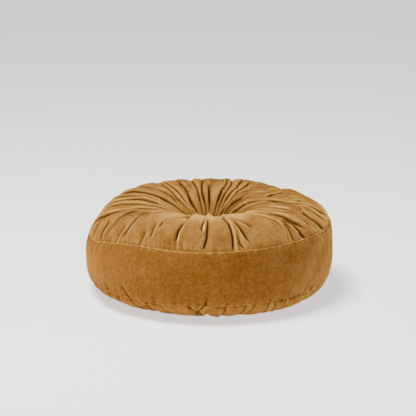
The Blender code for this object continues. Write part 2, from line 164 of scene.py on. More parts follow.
# Creases of the top panel. slot is the angle, at the seam, of the mesh column that follows the
# crease. The crease shows between its outer and inner radius, and path gives its angle as (radius,
# angle) pairs from the seam inward. ridge is the height of the lit ridge beside it, which stands on
# the side of the larger angles if it is positive and of the smaller ones if it is negative. Long
# creases steer the mesh from the seam to the centre, the others only near where they show.
Crease = namedtuple("Crease", "name slot long outer inner depth width ridge path")
CREASES = (
    Crease("H1", 30.0, True, 238, 24, 10.5, 4.5, -4.0, (
        (238, 32), (200, 38), (180, 41), (153, 44), (121, 43), (104, 43.5), (85, 45.5), (62, 49),
        (24, 52))),
    Crease("J11", 40.0, True, 160, 24, 4.5, 7.0, 1.0, (
        (241, 42), (200, 46), (170, 50.5), (150, 53.5), (130, 53), (115, 52.5), (94, 53), (76, 55),
        (63, 57.5), (50, 59.2), (24, 60))),
    Crease("N1", 50.0, False, 241, 180, 3.0, 5.0, 0.0, ((241, 51), (180, 55))),
    Crease("R4", 62.0, True, 192, 24, 8.0, 3.5, 1.5, (
        (234, 63), (152, 62), (106, 59.6), (82, 59.6), (51, 62.5), (24, 63.5))),
    Crease("R3", 68.0, True, 205, 24, 9.5, 3.2, 1.0, (
        (205, 69), (155, 67.5), (104, 65.4), (65, 66.5), (24, 69))),
    Crease("R2", 73.0, True, 238, 24, 9.5, 3.2, 1.0, (
        (215, 76), (190, 75.2), (161, 73), (110, 71), (66, 72.2), (24, 74.5))),
    Crease("R1", 79.0, True, 196, 24, 10.5, 4.2, 1.5, (
        (238, 79.5), (169, 77.5), (132, 76.5), (102, 76.3), (65, 77.5), (24, 79.5))),
    Crease("J6", 88.0, True, 162, 40, 11.5, 4.8, 0.0, (
        (176, 89.7), (154, 89.9), (102, 90), (68, 89.2), (24, 90))),
    Crease("J5", 95.0, True, 208, 24, 11.5, 4.0, 0.0, (
        (238, 94), (175, 94.8), (140, 96.5), (102, 98), (57, 97), (24, 97))),
    Crease("J4", 101.5, True, 215, 24, 10.0, 3.5, -1.0, (
        (215, 101), (180, 101.5), (132, 101.8), (96, 103.2), (54, 104.5), (24, 105))),
    Crease("J4b", 107.0, False, 176, 125, 4.0, 3.0, 0.0, ((176, 107.5), (165, 107), (125, 106))),
    Crease("J1", 111.0, True, 184, 24, 12.0, 4.2, -1.0, (
        (235, 110), (147, 111.5), (110, 114.5), (88, 116.7), (71, 117.8), (24, 118))),
    Crease("L7", 120.5, True, 215, 24, 8.5, 3.2, -1.5, (
        (236, 121), (177, 120.8), (128, 124), (101, 126), (59, 128), (24, 129))),
    Crease("L6", 126.0, True, 225, 24, 8.5, 3.2, -1.5, (
        (225, 124.5), (186, 124.5), (159, 126), (126, 129), (101, 132.8), (69, 135.5), (24, 138))),
    Crease("J2", 138.5, True, 238, 24, 7.5, 3.8, -1.0, (
        (238, 139), (140, 138.5), (100, 140.5), (70, 143), (24, 144))),
    Crease("J3", 153.0, True, 222, 24, 10.5, 5.0, -1.5, (
        (222, 155), (173, 153), (140, 153.5), (120, 154.5), (102, 154.8), (68, 154.5), (24, 154))),
    Crease("N3", 159.0, False, 241, 165, 5.0, 3.5, 0.0, ((241, 160), (195, 158.5), (165, 159))),
    Crease("L3", 165.0, True, 238, 24, 8.5, 3.8, -1.5, (
        (238, 166), (189, 164.5), (139, 164), (118, 165), (96, 168.5), (77, 170), (24, 171))),
    Crease("L2", 173.0, True, 226, 24, 9.5, 4.2, -2.0, (
        (226, 172), (175, 175.3), (136, 175), (107, 178.5), (90, 181), (24, 183))),
    Crease("L1", 178.5, True, 236, 60, 9.0, 3.8, -2.5, (
        (236, 177), (218, 178), (204, 183), (189, 187), (171, 189), (154, 190), (136, 192.5),
        (118, 195), (24, 197))),
    Crease("K5", 186.0, True, 241, 50, 8.5, 4.2, -2.0, (
        (240, 182), (231, 184), (213, 194), (199, 198.5), (178, 202), (161, 207), (146, 210.5),
        (130, 212.5), (24, 216))),
    Crease("M1", 197.0, True, 243, 206, 9.5, 3.6, 3.0, (
        (243, 197.3), (230, 195.6), (219, 195.8), (208, 198.8), (178, 204.5), (161, 209),
        (146, 212.5), (130, 215), (24, 218.5))),
    Crease("M1b", 203.5, False, 242, 212, 10.0, 3.6, 2.5, (
        (242, 206.6), (231, 204.6), (225, 204.1), (212, 203.6))),
    Crease("M2", 209.0, True, 241, 160, 10.0, 3.4, 3.0, (
        (241, 209.6), (227, 209.8), (212, 211.2), (182, 211.8), (165, 213), (146, 216), (130, 218),
        (24, 221))),
    Crease("K4", 214.0, False, 190, 150, 9.0, 3.4, 2.0, (
        (190, 214.5), (182, 215.8), (171, 216.5), (159, 217), (150, 218))),
    Crease("M3", 221.0, False, 243, 208, 6.5, 3.4, 2.5, (
        (243, 220.6), (236, 220.2), (228, 219.6), (208, 219.8))),
    Crease("K1", 224.5, True, 232, 146, 11.5, 4.0, 3.5, (
        (232, 222.8), (215, 223.9), (201, 223.9), (187, 222.4), (168, 220.8), (149, 220.8),
        (130, 222), (24, 226))),
    Crease("K3", 227.5, False, 243, 230, 5.0, 2.6, 1.0, ((243, 226.5), (230, 227))),
    Crease("K4b", 230.0, False, 188, 110, 9.5, 4.0, 2.0, (
        (188, 227), (180, 226.5), (159, 225.5), (144, 226), (110, 229))),
    Crease("M5", 233.0, False, 241, 214, 4.0, 5.0, 1.0, (
        (241, 235.6), (234, 235.6), (225, 235.8), (214, 235.8))),
    Crease("M6", 237.5, False, 226, 192, 6.0, 5.0, 1.2, (
        (236, 240), (222, 239.8), (216, 239.7), (207, 239.3), (198, 238.8))),
    Crease("A", 241.5, True, 209, 84, 11.0, 4.4, 4.0, (
        (212, 242.5), (200, 242.2), (190, 242.3), (175, 243), (165, 244), (155, 245), (136, 246),
        (100, 246.5), (24, 247.5))),
    Crease("A2", 248.0, False, 178, 112, 9.0, 3.6, 2.5, (
        (180, 247.5), (165, 249.5), (150, 251), (110, 251.5))),
    Crease("B", 254.5, True, 233, 90, 11.0, 4.0, 4.4, (
        (233, 254), (220, 253.8), (210, 254), (199, 254.8), (175, 255.6), (150, 255), (135, 254),
        (100, 253), (24, 252.5))),
    Crease("C1", 264.5, False, 213, 96, 10.0, 3.0, 4.4, (
        (213, 266), (189, 266), (169, 266.3), (134, 266.8), (24, 267.5))),
    Crease("C2", 268.0, True, 245, 148, 11.5, 3.6, 0.0, (
        (245, 267.6), (235, 268), (224, 268.9), (206, 269.1), (186, 269.2), (154, 269.3),
        (24, 270))),
    Crease("C3", 274.0, False, 150, 80, 7.0, 3.6, 0.0, ((142, 274.5), (100, 275))),
    Crease("D1", 281.0, True, 250, 92, 11.5, 4.0, 2.4, (
        (244, 280.8), (236, 281.2), (224, 281.5), (198, 281.3), (171, 281), (152, 281), (110, 281),
        (24, 280))),
    Crease("D3b", 283.5, False, 245, 231, 7.5, 2.8, 1.5, (
        (245, 284.2), (235, 283.8), (226, 283.2))),
    Crease("D3", 286.0, False, 244, 220, 9.5, 3.0, 1.2, (
        (244, 286), (238, 285.2), (231, 284.4), (220, 283.8))),
    Crease("D2", 289.5, True, 240, 104, 11.5, 3.6, -2.8, (
        (240, 289.8), (230, 288.2), (216, 287), (199, 286), (173, 285.6), (149, 285.2),
        (120, 284.5), (24, 283))),
    Crease("D5", 295.0, True, 219, 112, 8.0, 3.8, -2.4, (
        (219, 294), (209, 291.9), (196, 290.6), (178, 289.5), (162, 288.6), (147, 287.8),
        (120, 286.8), (24, 286))),
    Crease("E1", 306.5, True, 243, 100, 6.0, 3.4, 2.0, (
        (243, 308.2), (228, 309.2), (215, 309.6), (207, 309), (196, 307.4), (177, 306.2),
        (152, 305.5), (60, 300), (24, 298))),
    Crease("E2", 309.0, False, 246, 214, 6.5, 3.0, 1.6, (
        (246, 309.6), (239, 310), (230, 310.9), (214, 312))),
    Crease("E3", 312.0, False, 246, 206, 8.5, 4.5, 0.0, (
        (246, 312), (239, 312.2), (228, 312.8), (218, 313.6), (206, 313.4))),
    Crease("E4", 318.3, True, 262, 198, 12.5, 4.6, -4.6, (
        (245, 319), (239, 318.2), (230, 317.8), (218, 317.6), (210, 316.6), (200, 315.4),
        (187, 313.8), (157, 310.5), (60, 304.5), (24, 303))),
    Crease("E5", 323.5, True, 237, 96, 9.0, 4.4, 2.5, (
        (237, 323.7), (230, 322), (222, 320.8), (216, 319.6), (204, 318), (187, 316.5),
        (173, 315.4), (157, 313), (60, 308), (24, 307))),
    Crease("G5", 327.5, False, 194, 120, 8.0, 3.6, 1.5, (
        (194, 322.3), (173, 322), (155, 322), (140, 320.5), (120, 320))),
    Crease("F2a", 329.2, False, 245, 220, 4.0, 2.2, 1.5, (
        (245, 328.3), (231, 327.2), (220, 325.6))),
    Crease("G6", 330.6, False, 182, 128, 5.0, 3.4, 2.4, (
        (193, 330), (173, 331.5), (148, 333), (125, 332))),
    Crease("F2b", 333.6, False, 245, 210, 4.5, 2.2, 1.5, (
        (245, 331), (231, 330), (221, 329.3), (210, 328.4))),
    Crease("F2c", 335.6, False, 245, 210, 4.5, 2.2, 1.5, (
        (245, 333.8), (231, 332.5), (219, 331.3), (210, 330.7))),
    Crease("F1", 337.5, True, 257, 194, 10.0, 3.8, 2.0, (
        (243, 337.4), (234, 335.5), (221, 333.3), (208, 333.3), (199, 334.7), (190, 337),
        (180, 339.6), (170, 342), (155, 343), (129, 342), (106, 343), (24, 347))),
    Crease("F1b", 338.6, False, 206, 150, 5.0, 2.6, 1.0, (
        (208, 334.2), (199, 335.6), (190, 337.9), (180, 340.5), (170, 342.9), (155, 343.9))),
    Crease("G1", 345.5, True, 243, 176, 7.0, 3.4, 2.5, (
        (243, 344.5), (235, 343.5), (221, 342), (206, 341), (187, 343), (170, 345.3), (150, 346.5),
        (130, 347.5), (100, 351), (60, 355), (24, 356))),
    Crease("G4", 349.0, False, 140, 60, 7.5, 4.0, 1.0, (
        (140, 351), (120, 356.5), (100, 361), (60, 364))),
    Crease("G8", 352.0, True, 240, 30, 10.0, 4.0, 2.5, (
        (240, 353.5), (233, 353.2), (221, 351), (209, 349.5), (189, 347.3), (180, 347), (164, 348),
        (147, 352.5), (132, 357.5), (118, 364), (103, 374.5), (91, 382), (80, 386), (62, 388),
        (24, 391))),
    Crease("G9", 357.0, False, 190, 148, 11.0, 4.0, 1.5, (
        (190, 356), (183, 355.8), (170, 356.2), (151, 358))),
    Crease("G2", 366.0, False, 172, 118, 9.0, 3.6, 2.0, (
        (172, 386), (161, 385), (150, 384), (139, 382), (124, 378), (118, 378))),
    Crease("N5", 376.0, False, 241, 175, 7.0, 5.0, 0.0, (
        (241, 378), (215, 382), (195, 388), (172, 392))),
)

# Ends of a crease: it fades over this length, from a little outside its radii, and one that isn't
# long steers the mesh this far past them.
LONG_END = 18.0
SHORT_END = 10.0
END_MARGIN = 2.0
STEER_REACH = 26.0

# Section across a crease: a sharp fold in a wider soft valley. Widths and offsets here and below
# are in widths of the crease. Inside the squeeze radius creases get narrower and shallower, and the
# cloth beside each is pulled towards it.
SHARP_WIDTH = 0.52
SHARP_SHARE = 0.64
SOFT_WIDTH = 2.2
SOFT_SHARE = 0.36
SQUEEZE_RADIUS = 85.0
SQUEEZE_LEAST = 0.25
DEPTH_LEAST = 0.35
PULL_SHARE = 0.4
PULL_WIDTH = 1.6

# At the cushion's sides the far wall of a crease is steeper and the near one gentler. Its shade
# lies on the far wall there and is weaker. A crease as deep as the shade depth is fully shaded.
STEEP_SIDE = 0.35
GENTLE_SIDE = 0.6
SIDE_DIMMING = 0.25
SHADE_OFFSET = 0.6
SHADE_WIDTH = 0.8
SHADE_DEPTH = 9.8
SHADE_POWER = 1.25

# The ridge beside a crease, and the light along it.
RIDGE_OFFSET = 1.9
RIDGE_WIDTH = 0.9
LIGHT_OFFSET = 1.2
LIGHT_WIDTH = 0.45
FULLY_LIT_RIDGE = 3.0

# Gathers: smaller creases at random places between the main ones, by sector of the top panel.
Gathers = namedtuple("Gathers", "name first last count depth outer_low outer_high longest")
GATHERS = (
    Gathers("right", 326.0, 400.0, 44, 2.6, 110.0, 243.0, 80.0),
    Gathers("back", 40.0, 120.0, 50, 2.6, 60.0, 235.0, 80.0),
    Gathers("back left", 120.0, 222.0, 50, 2.6, 90.0, 243.0, 80.0),
    Gathers("front", 222.0, 326.0, 50, 0.4, 90.0, 243.0, 80.0),
    Gathers("seam front", 222.0, 326.0, 60, 1.1, 238.0, 250.0, 24.0),
)
# Length and depth are shares of the sector's own, lean is in degrees and width in millimetres.
GATHER_LENGTHS = (0.28, 1.0)
GATHER_LEANS = (-1.8, 1.8)
GATHER_DEPTHS = (0.25, 1.0)
GATHER_WIDTHS = (1.4, 2.8)
GATHER_OUTER_FADE = 0.3
GATHER_INNER_FADE = 0.4
GATHER_SHADE = 0.17
GATHER_LIGHT = 0.2
# Section across a gather and its ridge, in widths of the gather.
GATHER_SHARP_SHARE = 0.6
GATHER_SOFT_SHARE = 0.4
GATHER_SOFT_WIDTH = 2.5
GATHER_RIDGE = 0.5
GATHER_RIDGE_OFFSET = 2.2
GATHER_RIDGE_WIDTH = 1.2
GATHER_LIGHT_OFFSET = 1.6
GATHER_TONE_WIDTH = 0.8

# Pleats of the throat: their waves round it, how those drift, where they are, and their section.
PLEAT_WAVES = 26.0
PLEAT_DRIFT = 1.2
PLEAT_DRIFT_WAVES = 5.0
PLEAT_RADIUS = 40.0
PLEAT_REACH = 32.0
PLEAT_START = 14.0
PLEAT_DEPTH = 2.8
PLEAT_LEVEL = 0.35
PLEAT_VALLEY = 0.22
PLEAT_SHADE = 0.8

# Uneven waves: how many go round the cushion, how long they are down the profile, how high they
# are, and how many are summed.
Waves = namedtuple("Waves", "counts lengths size terms")
TOP_WAVES = Waves((9, 30), (60.0, 150.0), 0.5, 9)
TOP_RIPPLES = Waves((30, 90), (30.0, 80.0), 0.14, 9)
BAND_LUMPS = Waves((2, 14), (80.0, 220.0), 0.8, 8)
BAND_RIPPLES = Waves((24, 70), (40.0, 120.0), 0.2, 8)
SEAM_PUCKERS = Waves((50, 120), (300.0, 600.0), 0.7, 8)
BLOTCHES = Waves((10, 36), (40.0, 110.0), 1.0, 9)

# Tucks of the underside. start and end are shares of the way from the lower seam to the flat rest,
# and slant turns a tuck by so many degrees on that way, times the gain.
Tuck = namedtuple("Tuck", "angle slant depth width start end", defaults=(0.0, 1.0))
TUCKS = (
    Tuck(217.5, 3.0, 7.0, 4.0),
    Tuck(224.5, 4.0, 4.0, 3.0),
    Tuck(231.5, 3.0, 10.5, 3.5),
    Tuck(234.8, 5.5, 7.5, 3.0),
    Tuck(240.2, 0.0, 10.5, 3.2),
    Tuck(248.0, 2.0, 2.5, 3.0),
    Tuck(259.8, 5.5, 11.0, 3.2, 0.0, 0.9),
    Tuck(268.2, -4.5, 11.0, 3.0, 0.0, 0.9),
    Tuck(269.0, 0.0, 9.0, 2.4, 0.55, 1.3),
    Tuck(274.6, 0.0, -4.0, 2.4),
    Tuck(277.2, 0.0, 4.5, 2.5),
    Tuck(287.0, -1.0, 6.0, 2.8),
    Tuck(291.0, -2.0, 4.5, 2.5),
    Tuck(297.8, 0.5, 5.0, 2.5),
    Tuck(301.0, 2.0, 5.0, 2.5),
    Tuck(307.2, 0.0, 5.5, 2.5),
    Tuck(321.0, 4.5, 5.5, 3.0),
    Tuck(328.5, -6.0, 6.0, 3.0),
    Tuck(347.0, -5.0, 5.0, 3.0),
)
TUCK_SLANT_GAIN = 1.4
TUCK_DEPTH_GAIN = 1.6
TUCK_FADE = 0.08
TUCK_SHADE_DEPTH = 8.0
TUCK_SHADE_WIDTH = 0.9
TUCK_LIGHT_DEPTH = 14.0
TUCK_LIGHT_OFFSET = 1.4
TUCK_LIGHT_WIDTH = 0.5

# Tucks that go on round the unseen back, up to the last angle. Sines of a tuck's number times these
# steps make their spacing, slant and depth uneven.
BACK_TUCK_STEPS = (1.7, 2.3, 4.1)
BACK_TUCK_SPACING = 9.5
BACK_TUCK_SHIFT = 2.0
BACK_TUCK_LAST_ANGLE = 212.0
BACK_TUCK_SLANT = 4.0
BACK_TUCK_DEPTH = 3.8
BACK_TUCK_DEPTH_CHANGE = 1.2
BACK_TUCK_WIDTH = 3.0

# Short puckers of the side band, from an upper to a lower place.
Pucker = namedtuple("Pucker", "upper_angle upper_height lower_angle lower_height depth width")
PUCKERS = (
    Pucker(202.0, 122.0, 203.0, 98.0, 1.4, 4.0),
    Pucker(207.0, 124.0, 207.5, 104.0, 1.4, 3.0),
    Pucker(283.0, 142.0, 283.4, 128.0, 1.2, 3.0),
    Pucker(311.3, 146.0, 312.5, 128.0, 2.0, 3.5),
    Pucker(333.7, 149.0, 336.0, 124.0, 2.4, 3.5),
    Pucker(338.5, 149.0, 339.5, 132.0, 1.6, 2.6),
    Pucker(329.0, 62.0, 322.6, 38.0, 3.0, 3.2),
    Pucker(227.0, 62.0, 231.5, 36.0, 8.0, 3.2),
    Pucker(216.5, 54.0, 217.5, 36.0, 5.0, 3.0),
    Pucker(269.0, 56.0, 268.2, 36.0, 6.5, 2.6),
)
PUCKER_SHADE_DEPTH = 10.0
PUCKER_SHADE_WIDTH = 0.8

# Amounts that are strongest at one angle: swells of the underside's rim and lifts of the top seam,
# in millimetres, painted shade on the band, and the band's end where the dust colour is painted
# sheen.
Sector = namedtuple("Sector", "angle spread amount")
UNDER_SWELLS = (
    Sector(222.0, 20.0, 6.0),
    Sector(306.0, 18.0, 5.0),
)
SEAM_LIFTS = (
    Sector(229.0, 31.0, 13.5),
    Sector(299.0, 18.0, -1.5),
    Sector(345.0, 16.0, -3.0),
)
# Painted shade: a darker stretch of the band, and its left edge.
BAND_SHADES = (
    Sector(291.0, 15.0, 0.16),
    Sector(186.0, 17.0, 0.50),
)
# The band's end with painted sheen: the dust colour there stands in for sheen.
PAINTED_SHEEN_END = Sector(325.0, 26.0, 0.9)
# Height between one profile section and the next at the top seam.
SEAM_DROP_PER_MARK = 48.0

# Painted highlights of the top panel, on the lip and a front right puff.
PAINTED_HIGHLIGHT_PATCHES = (
    Patch("lip highlight", 270.0, 42.0, 135.0, 46.0, 0.98),
    Patch("front right puff", 299.0, 11.0, 205.0, 34.0, 0.18),
)

# Shade of the blotches, the underside and the throat, which ends over a stretch of radius.
BAND_BLOTCH = 0.20
TOP_BLOTCH = 0.15
MOST_BLOTCH = 1.2
UNDER_SHADE = 0.3
UNDER_SHADE_END = 0.6
THROAT_SHADE = 0.52
THROAT_RADIUS = 40.0
THROAT_FADE = 80.0

# Shade in what is hollow and light on what stands out, against the relief blurred this far.
CAVITY_REACH = 4.0
CAVITY_SHADE_DEPTH = 3.8
CAVITY_SHADE_MOST = 0.9
CAVITY_LIGHT_HEIGHT = 3.6
CAVITY_LIGHT = 0.35

# Seams: a groove with a stitched ridge in it, and puckers beside it. The lower one is the weaker.
LOWER_SEAM_STRENGTH = 0.5
SEAM_DEPTH = 1.7
SEAM_WIDTH = 3.4
SEAM_WELT = 1.4
SEAM_WELT_WIDTH = 0.9
SEAM_FADE = 0.12
SEAM_PUCKER_START = 3.0
SEAM_PUCKER_REACH = 11.0
SEAM_LIGHT = 0.72
SEAM_LIGHT_WIDTH = 0.8
SEAM_LIGHT_CHANGE = 0.25
SEAM_LIGHT_PUCKER = 0.8


def smooth_step(value):
    value = np.clip(value, 0.0, 1.0)
    return value * value * (3.0 - 2.0 * value)


def bell(distance, reach):
    return np.exp(-(distance / reach) ** 2)


def turn_between(angle, centre):
    """The signed turn from centre to angle, between -180 and 180 degrees."""
    return (angle - centre + 180.0) % 360.0 - 180.0


def sector_amount(sector, angle):
    return sector.amount * bell(turn_between(angle, sector.angle), sector.spread)


def patch_amount(patch, radius, angle):
    around = bell(turn_between(angle, patch.angle), patch.spread)
    return patch.amount * around * bell(radius - patch.radius, patch.reach)


def closed(angles):
    """A list of angles round the cushion that ends with its first angle, one turn on."""
    return angles + [angles[0] + 360.0]


def path_angle(crease, radius):
    """The angle of a crease at a radius, held at its end values outside its path."""
    radii = [point[0] for point in crease.path][::-1]
    angles = [point[1] for point in crease.path][::-1]
    return np.interp(radius, radii, angles)


def crease_strength(crease, radius):
    """How much of a crease there is at a radius, from 0 outside its ends to 1."""
    end = LONG_END if crease.long else SHORT_END
    starts = smooth_step((crease.outer + END_MARGIN - radius) / end)
    return starts * smooth_step((radius - crease.inner + END_MARGIN) / end)


def steering(radius, slots):
    """The true angles of the mesh columns at a radius, so that columns follow the creases."""
    long_creases = [crease for crease in CREASES if crease.long]
    long_slots = closed([crease.slot for crease in long_creases])
    long_angles = closed([float(path_angle(crease, radius)) for crease in long_creases])
    angles = []
    for crease in CREASES:
        angle = np.interp(crease.slot, long_slots, long_angles)
        near = 1.0
        if not crease.long:
            near = smooth_step((crease.outer + STEER_REACH - radius) / STEER_REACH)
            near *= smooth_step((radius - crease.inner + STEER_REACH) / STEER_REACH)
        angles.append(float(angle + near * (path_angle(crease, radius) - angle)))
    return np.interp(slots, closed([crease.slot for crease in CREASES]), closed(angles))


def column_slots():
    """Column angles at the seam: one on each crease, the rest crowded towards the creases."""
    stops = closed([crease.slot for crease in CREASES])
    shares = np.diff(stops) / 360.0
    counts = np.maximum(np.round(shares * COLUMNS), FEWEST_COLUMNS).astype(int)
    slots = []
    for start, end, count in zip(stops[:-1], stops[1:], counts):
        steps = np.arange(count) / count
        crowded = steps - CROWDING * np.sin(math.tau * steps)
        slots.extend(start + (end - start) * crowded)
    return np.array(slots)


def row_marks():
    """Marks of the mesh rows: even steps between sections, and finer ones beside the seams."""
    marks = []
    for index, section in enumerate(SECTIONS[:-1]):
        marks.extend(index + row / section.rows for row in range(section.rows))
    marks.append(float(len(SECTIONS) - 1))
    for seam in (TOP_SEAM, LOWER_SEAM):
        here = SECTIONS[seam]
        for side in (-1, 1):
            other = SECTIONS[seam + side]
            length = math.hypot(other.radius - here.radius, other.height - here.height)
            room = SEAM_ROWS[-1] / length * SEAM_ROWS_ROOM
            marks = [mark for mark in marks if not 0 < (mark - seam) * side < room]
            marks.extend(seam + side * row / length for row in SEAM_ROWS)
    return np.array(sorted(marks))


def spline_value(points, index, share):
    """A value on the Catmull-Rom curve through padded points, between index and index + 1."""
    before, start, end, after = points[index:index + 4]
    linear = end - before
    square = 2.0 * before - 5.0 * start + 4.0 * end - after
    cubic = 3.0 * start - before - 3.0 * end + after
    return start + 0.5 * share * (linear + share * (square + share * cubic))


def profile_places(marks, angles):
    """Radius and height of the plain profile for given marks and true angles."""
    turn = np.radians(angles)
    radius_points = []
    height_points = []
    for section in SECTIONS:
        uneven = section.right * np.cos(turn) + section.back * np.sin(turn)
        radius_points.append(np.full_like(turn, section.radius))
        height_points.append(section.height + uneven + section.saddle * np.cos(2.0 * turn))
    radius_points = [-radius_points[1]] + radius_points + [-radius_points[-2]]
    height_points = [height_points[1]] + height_points + [height_points[-2]]
    radius, height = np.zeros((2, *turn.shape))
    whole = np.clip(marks.astype(int), 0, len(SECTIONS) - 2)
    for index in range(len(SECTIONS) - 1):
        share = marks - index
        here = whole == index
        radius = np.where(here, spline_value(radius_points, index, share), radius)
        height = np.where(here, spline_value(height_points, index, share), height)
    return radius, np.maximum(height, 0.0)


def lifted_marks(marks, angles):
    """Marks moved so that the top seam keeps to its own height round the cushion."""
    lift = sum(sector_amount(sector, angles) for sector in SEAM_LIFTS)
    near = 1.0 - smooth_step(np.abs(marks - TOP_SEAM))
    return marks - near * lift / SEAM_DROP_PER_MARK


def steered_angles(radius, slots):
    """The true angle of every point of the top panel from its radius and its column."""
    rings = np.arange(int(radius.max()) + 2)
    table = np.array([steering(float(ring), slots) for ring in rings])
    below = np.clip(radius, 0.0, None).astype(int)
    share = radius - below
    column = np.broadcast_to(np.arange(len(slots)), radius.shape)
    return table[below, column] * (1.0 - share) + table[below + 1, column] * share


def cover_grid():
    """Marks of the rows, and the slot, true angle, radius and height of every plain point."""
    slots = column_slots()
    marks = row_marks()
    grid = np.repeat(marks[:, None], len(slots), axis=1)
    columns = np.broadcast_to(slots, grid.shape)
    grid = lifted_marks(grid, columns)
    radius = profile_places(grid, columns)[0]
    top = marks <= TOP_SEAM
    angle = steered_angles(np.abs(radius), slots)
    seam_angles = angle[top][-1]
    straight = smooth_step((marks - TOP_SEAM) / STRAIGHTENING)[:, None]
    angle = np.where(top[:, None], angle, seam_angles + straight * (slots - seam_angles))
    radius, height = profile_places(grid, angle)
    return marks, columns, angle, radius, height


def profile_normals(radius, height):
    """The direction out of the plain profile, and the way travelled down it, at every point."""
    along_radius = np.gradient(radius, axis=0)
    along_height = np.gradient(height, axis=0)
    length = np.hypot(along_radius, along_height)
    length[length == 0.0] = 1.0
    return -along_height / length, along_radius / length, np.cumsum(length, axis=0)


def cavity(relief, radius):
    """How far each point stands above the relief blurred round the cushion."""
    waves = np.fft.rfft(relief, axis=1)
    rings = np.maximum(radius.mean(axis=1), INNERMOST_RADIUS)[:, None]
    spread = np.arange(waves.shape[1]) * CAVITY_REACH / rings
    return relief - np.fft.irfft(waves * np.exp(-0.5 * spread ** 2), n=relief.shape[1], axis=1)


def crease_shape(distance, width):
    """Depth of a crease across its line, 1 at the line."""
    sharp = np.exp(-np.abs(distance) / (SHARP_WIDTH * width))
    return SHARP_SHARE * sharp + SOFT_SHARE * bell(distance, SOFT_WIDTH * width)


def crease_relief(radius, angle):
    """Relief, sideways pull in millimetres, crease shade and ridge light of the top panel."""
    relief, pull, shade, light = np.zeros((4, *radius.shape))
    squeeze = np.clip(radius / SQUEEZE_RADIUS, SQUEEZE_LEAST, 1.0)
    sideways = np.cos(np.radians(angle))
    dimming = 1.0 - SIDE_DIMMING * np.abs(sideways)
    for crease in CREASES:
        strength = crease_strength(crease, radius)
        width = crease.width * squeeze
        depth = crease.depth * strength * (DEPTH_LEAST + (1.0 - DEPTH_LEAST) * squeeze)
        distance = np.radians(turn_between(angle, path_angle(crease, radius))) * radius
        lean = np.sign(distance) * sideways
        wall = np.where(lean > 0.0, STEEP_SIDE, GENTLE_SIDE)
        relief -= depth * crease_shape(distance, width * (1.0 - wall * lean))
        pull -= PULL_SHARE * strength * distance * bell(distance, PULL_WIDTH * width)
        core = bell(distance - SHADE_OFFSET * width * sideways, SHADE_WIDTH * width)
        shade = np.maximum(shade, (depth / SHADE_DEPTH) ** SHADE_POWER * dimming * core)
        side = math.copysign(1.0, crease.ridge)
        ridge = strength * abs(crease.ridge)
        relief += ridge * bell(distance - side * RIDGE_OFFSET * width, RIDGE_WIDTH * width)
        edge = bell(distance - side * LIGHT_OFFSET * width, LIGHT_WIDTH * width)
        light = np.maximum(light, ridge / FULLY_LIT_RIDGE * edge)
    return relief, pull, shade, light


def gather_relief(random, radius, columns):
    """Relief, shade and light of the gathers."""
    relief, shade, light = np.zeros((3, *radius.shape))
    for gathers in GATHERS:
        for _ in range(gathers.count):
            slot = random.uniform(gathers.first, gathers.last)
            outer = random.uniform(gathers.outer_low, gathers.outer_high)
            inner = outer - gathers.longest * random.uniform(*GATHER_LENGTHS)
            lean = random.uniform(*GATHER_LEANS)
            depth = gathers.depth * random.uniform(*GATHER_DEPTHS)
            width = random.uniform(*GATHER_WIDTHS)
            side = random.choice((-1.0, 1.0))
            share = (outer - radius) / (outer - inner)
            strength = depth * smooth_step(share / GATHER_OUTER_FADE)
            strength *= smooth_step((1.0 - share) / GATHER_INNER_FADE)
            distance = np.radians(turn_between(columns, slot + lean * share)) * radius
            fold = GATHER_SHARP_SHARE * np.exp(-np.abs(distance) / width)
            fold += GATHER_SOFT_SHARE * bell(distance, GATHER_SOFT_WIDTH * width)
            past_ridge = distance - side * GATHER_RIDGE_OFFSET * width
            ridge = GATHER_RIDGE * bell(past_ridge, GATHER_RIDGE_WIDTH * width)
            relief += strength * (ridge - fold)
            core = bell(distance, GATHER_TONE_WIDTH * width)
            shade = np.maximum(shade, GATHER_SHADE * strength * core)
            edge = bell(distance - side * GATHER_LIGHT_OFFSET * width, GATHER_TONE_WIDTH * width)
            light = np.maximum(light, GATHER_LIGHT * strength * edge)
    return relief, shade, light


def pleat_relief(radius, columns):
    """Relief and shade of the throat's pleats."""
    fade = bell(radius - PLEAT_RADIUS, PLEAT_REACH) * smooth_step(radius / PLEAT_START)
    turn = np.radians(columns)
    phase = turn * PLEAT_WAVES + PLEAT_DRIFT * np.sin(turn * PLEAT_DRIFT_WAVES)
    valley = np.exp(-np.abs(np.sin(phase)) / PLEAT_VALLEY)
    return PLEAT_DEPTH * fade * (PLEAT_LEVEL - valley), PLEAT_SHADE * fade * valley


def uneven_waves(random, waves, angle, along):
    """A sum of waves round the cushion and along the profile, with an even mix of sizes."""
    total = np.zeros_like(angle)
    for _ in range(waves.terms):
        count = random.integers(*waves.counts)
        length = random.uniform(*waves.lengths)
        phase = random.uniform(0.0, math.tau)
        tilt = random.choice((-1.0, 1.0))
        total += np.cos(np.radians(angle) * count + tilt * math.tau * along / length + phase)
    return waves.size * total / math.sqrt(waves.terms)


def top_relief(random, radius, angle, columns, travelled):
    """Relief, sideways pull, shade and light of the whole top panel."""
    relief, pull, shade, light = crease_relief(radius, angle)
    pleats, pleat_shade = pleat_relief(radius, columns)
    gathers, gather_shade, gather_light = gather_relief(random, radius, columns)
    relief += sum(patch_amount(swell, radius, angle) for swell in SWELLS) + pleats + gathers
    relief += uneven_waves(random, TOP_WAVES, columns, travelled)
    relief += uneven_waves(random, TOP_RIPPLES, columns, travelled)
    throat_shade = THROAT_SHADE * (1.0 - smooth_step((radius - THROAT_RADIUS) / THROAT_FADE))
    shade = np.maximum.reduce([shade, pleat_shade, gather_shade, throat_shade])
    # Painted highlights on the lip and a front right puff.
    glows = [patch_amount(glow, radius, angle) for glow in PAINTED_HIGHLIGHT_PATCHES]
    light = np.maximum.reduce([light, gather_light, *glows])
    return relief, pull, shade, light


